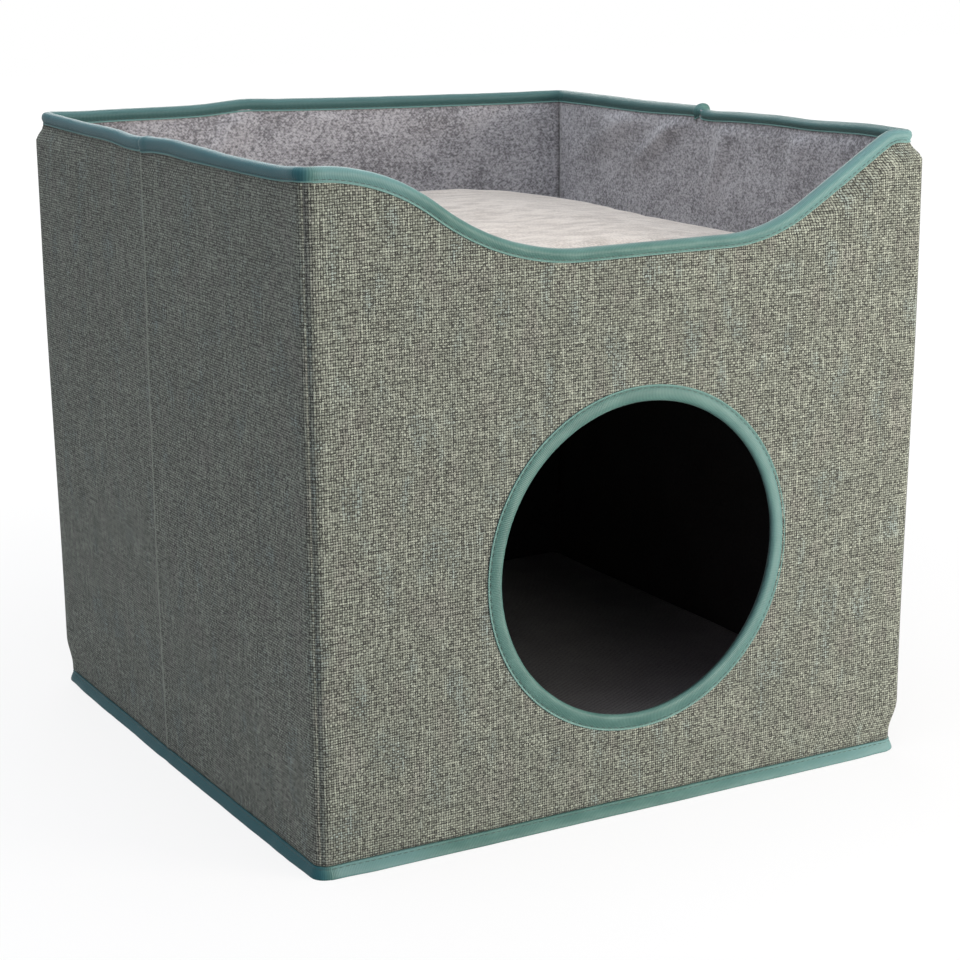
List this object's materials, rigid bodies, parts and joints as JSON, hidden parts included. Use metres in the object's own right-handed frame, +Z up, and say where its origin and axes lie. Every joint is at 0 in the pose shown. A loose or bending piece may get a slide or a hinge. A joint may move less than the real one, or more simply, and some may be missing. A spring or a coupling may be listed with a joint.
{
  "type": "cat scratching cave",
  "caption": "Folding cloth cube for a cat: a cave with a round entry and a scratch mat below, and a cushioned bed behind a scalloped front rim on top.",
  "frame": {"origin": "on the ground under the middle of the cube", "axes": "+X across the front from left to right, +Y from the front to the back, +Z up; the front with the entry faces -Y"},
  "size_m": [0.4092, 0.4092, 0.39],
  "materials": {
    "woven_cloth": "coarse linen-look weave, matt",
    "grey_board": "plain grey board",
    "grey_felt": "mottled needle felt",
    "dark_lining": "matt non-woven cloth",
    "satin_tape": "satin binding tape with a stitch line",
    "ribbed_mat": "fine ribs, matt",
    "plush": "short soft pile",
    "loop_tape": "looped pile",
    "hook_tape": "rows of small hooks"
  },
  "bodies": {
    "shell": {"front_cover": "woven_cloth", "back_cover": "woven_cloth", "left_cover": "woven_cloth", "right_cover": "woven_cloth", "front_board": "grey_board", "back_board": "grey_board", "left_front_board": "grey_board", "left_rear_board": "grey_board", "right_front_board": "grey_board", "right_rear_board": "grey_board", "front_facing": "grey_felt", "back_facing": "grey_felt", "left_facing": "grey_felt", "right_facing": "grey_felt", "front_lining": "dark_lining", "back_lining": "dark_lining", "left_lining": "dark_lining", "right_lining": "dark_lining", "rim_binding": "satin_tape", "entry_binding": "satin_tape", "hem_binding": "satin_tape", "base_cloth": "dark_lining", "front_loop_tape": "loop_tape", "back_loop_tape": "loop_tape", "left_loop_tape": "loop_tape", "right_loop_tape": "loop_tape"},
    "floor": {"floor_board": "grey_board", "scratch_mat": "ribbed_mat"},
    "shelf": {"shelf_board": "grey_board", "shelf_felt": "grey_felt", "shelf_lining": "dark_lining", "front_hook_tape": "hook_tape", "back_hook_tape": "hook_tape", "left_hook_tape": "hook_tape", "right_hook_tape": "hook_tape"},
    "cushion": {"cushion": "plush"}
  },
  "joints": [
    {"name": "floor_lift", "type": "slide", "parent": "shell", "child": "floor", "axis": [0, 0, 1], "range_m": [0, 0.4]},
    {"name": "shelf_lift", "type": "slide", "parent": "floor", "child": "shelf", "axis": [0, 0, 1], "range_m": [0, 0.15]},
    {"name": "cushion_lift", "type": "slide", "parent": "shelf", "child": "cushion", "axis": [0, 0, 1], "range_m": [0, 0.12]}
  ]
}
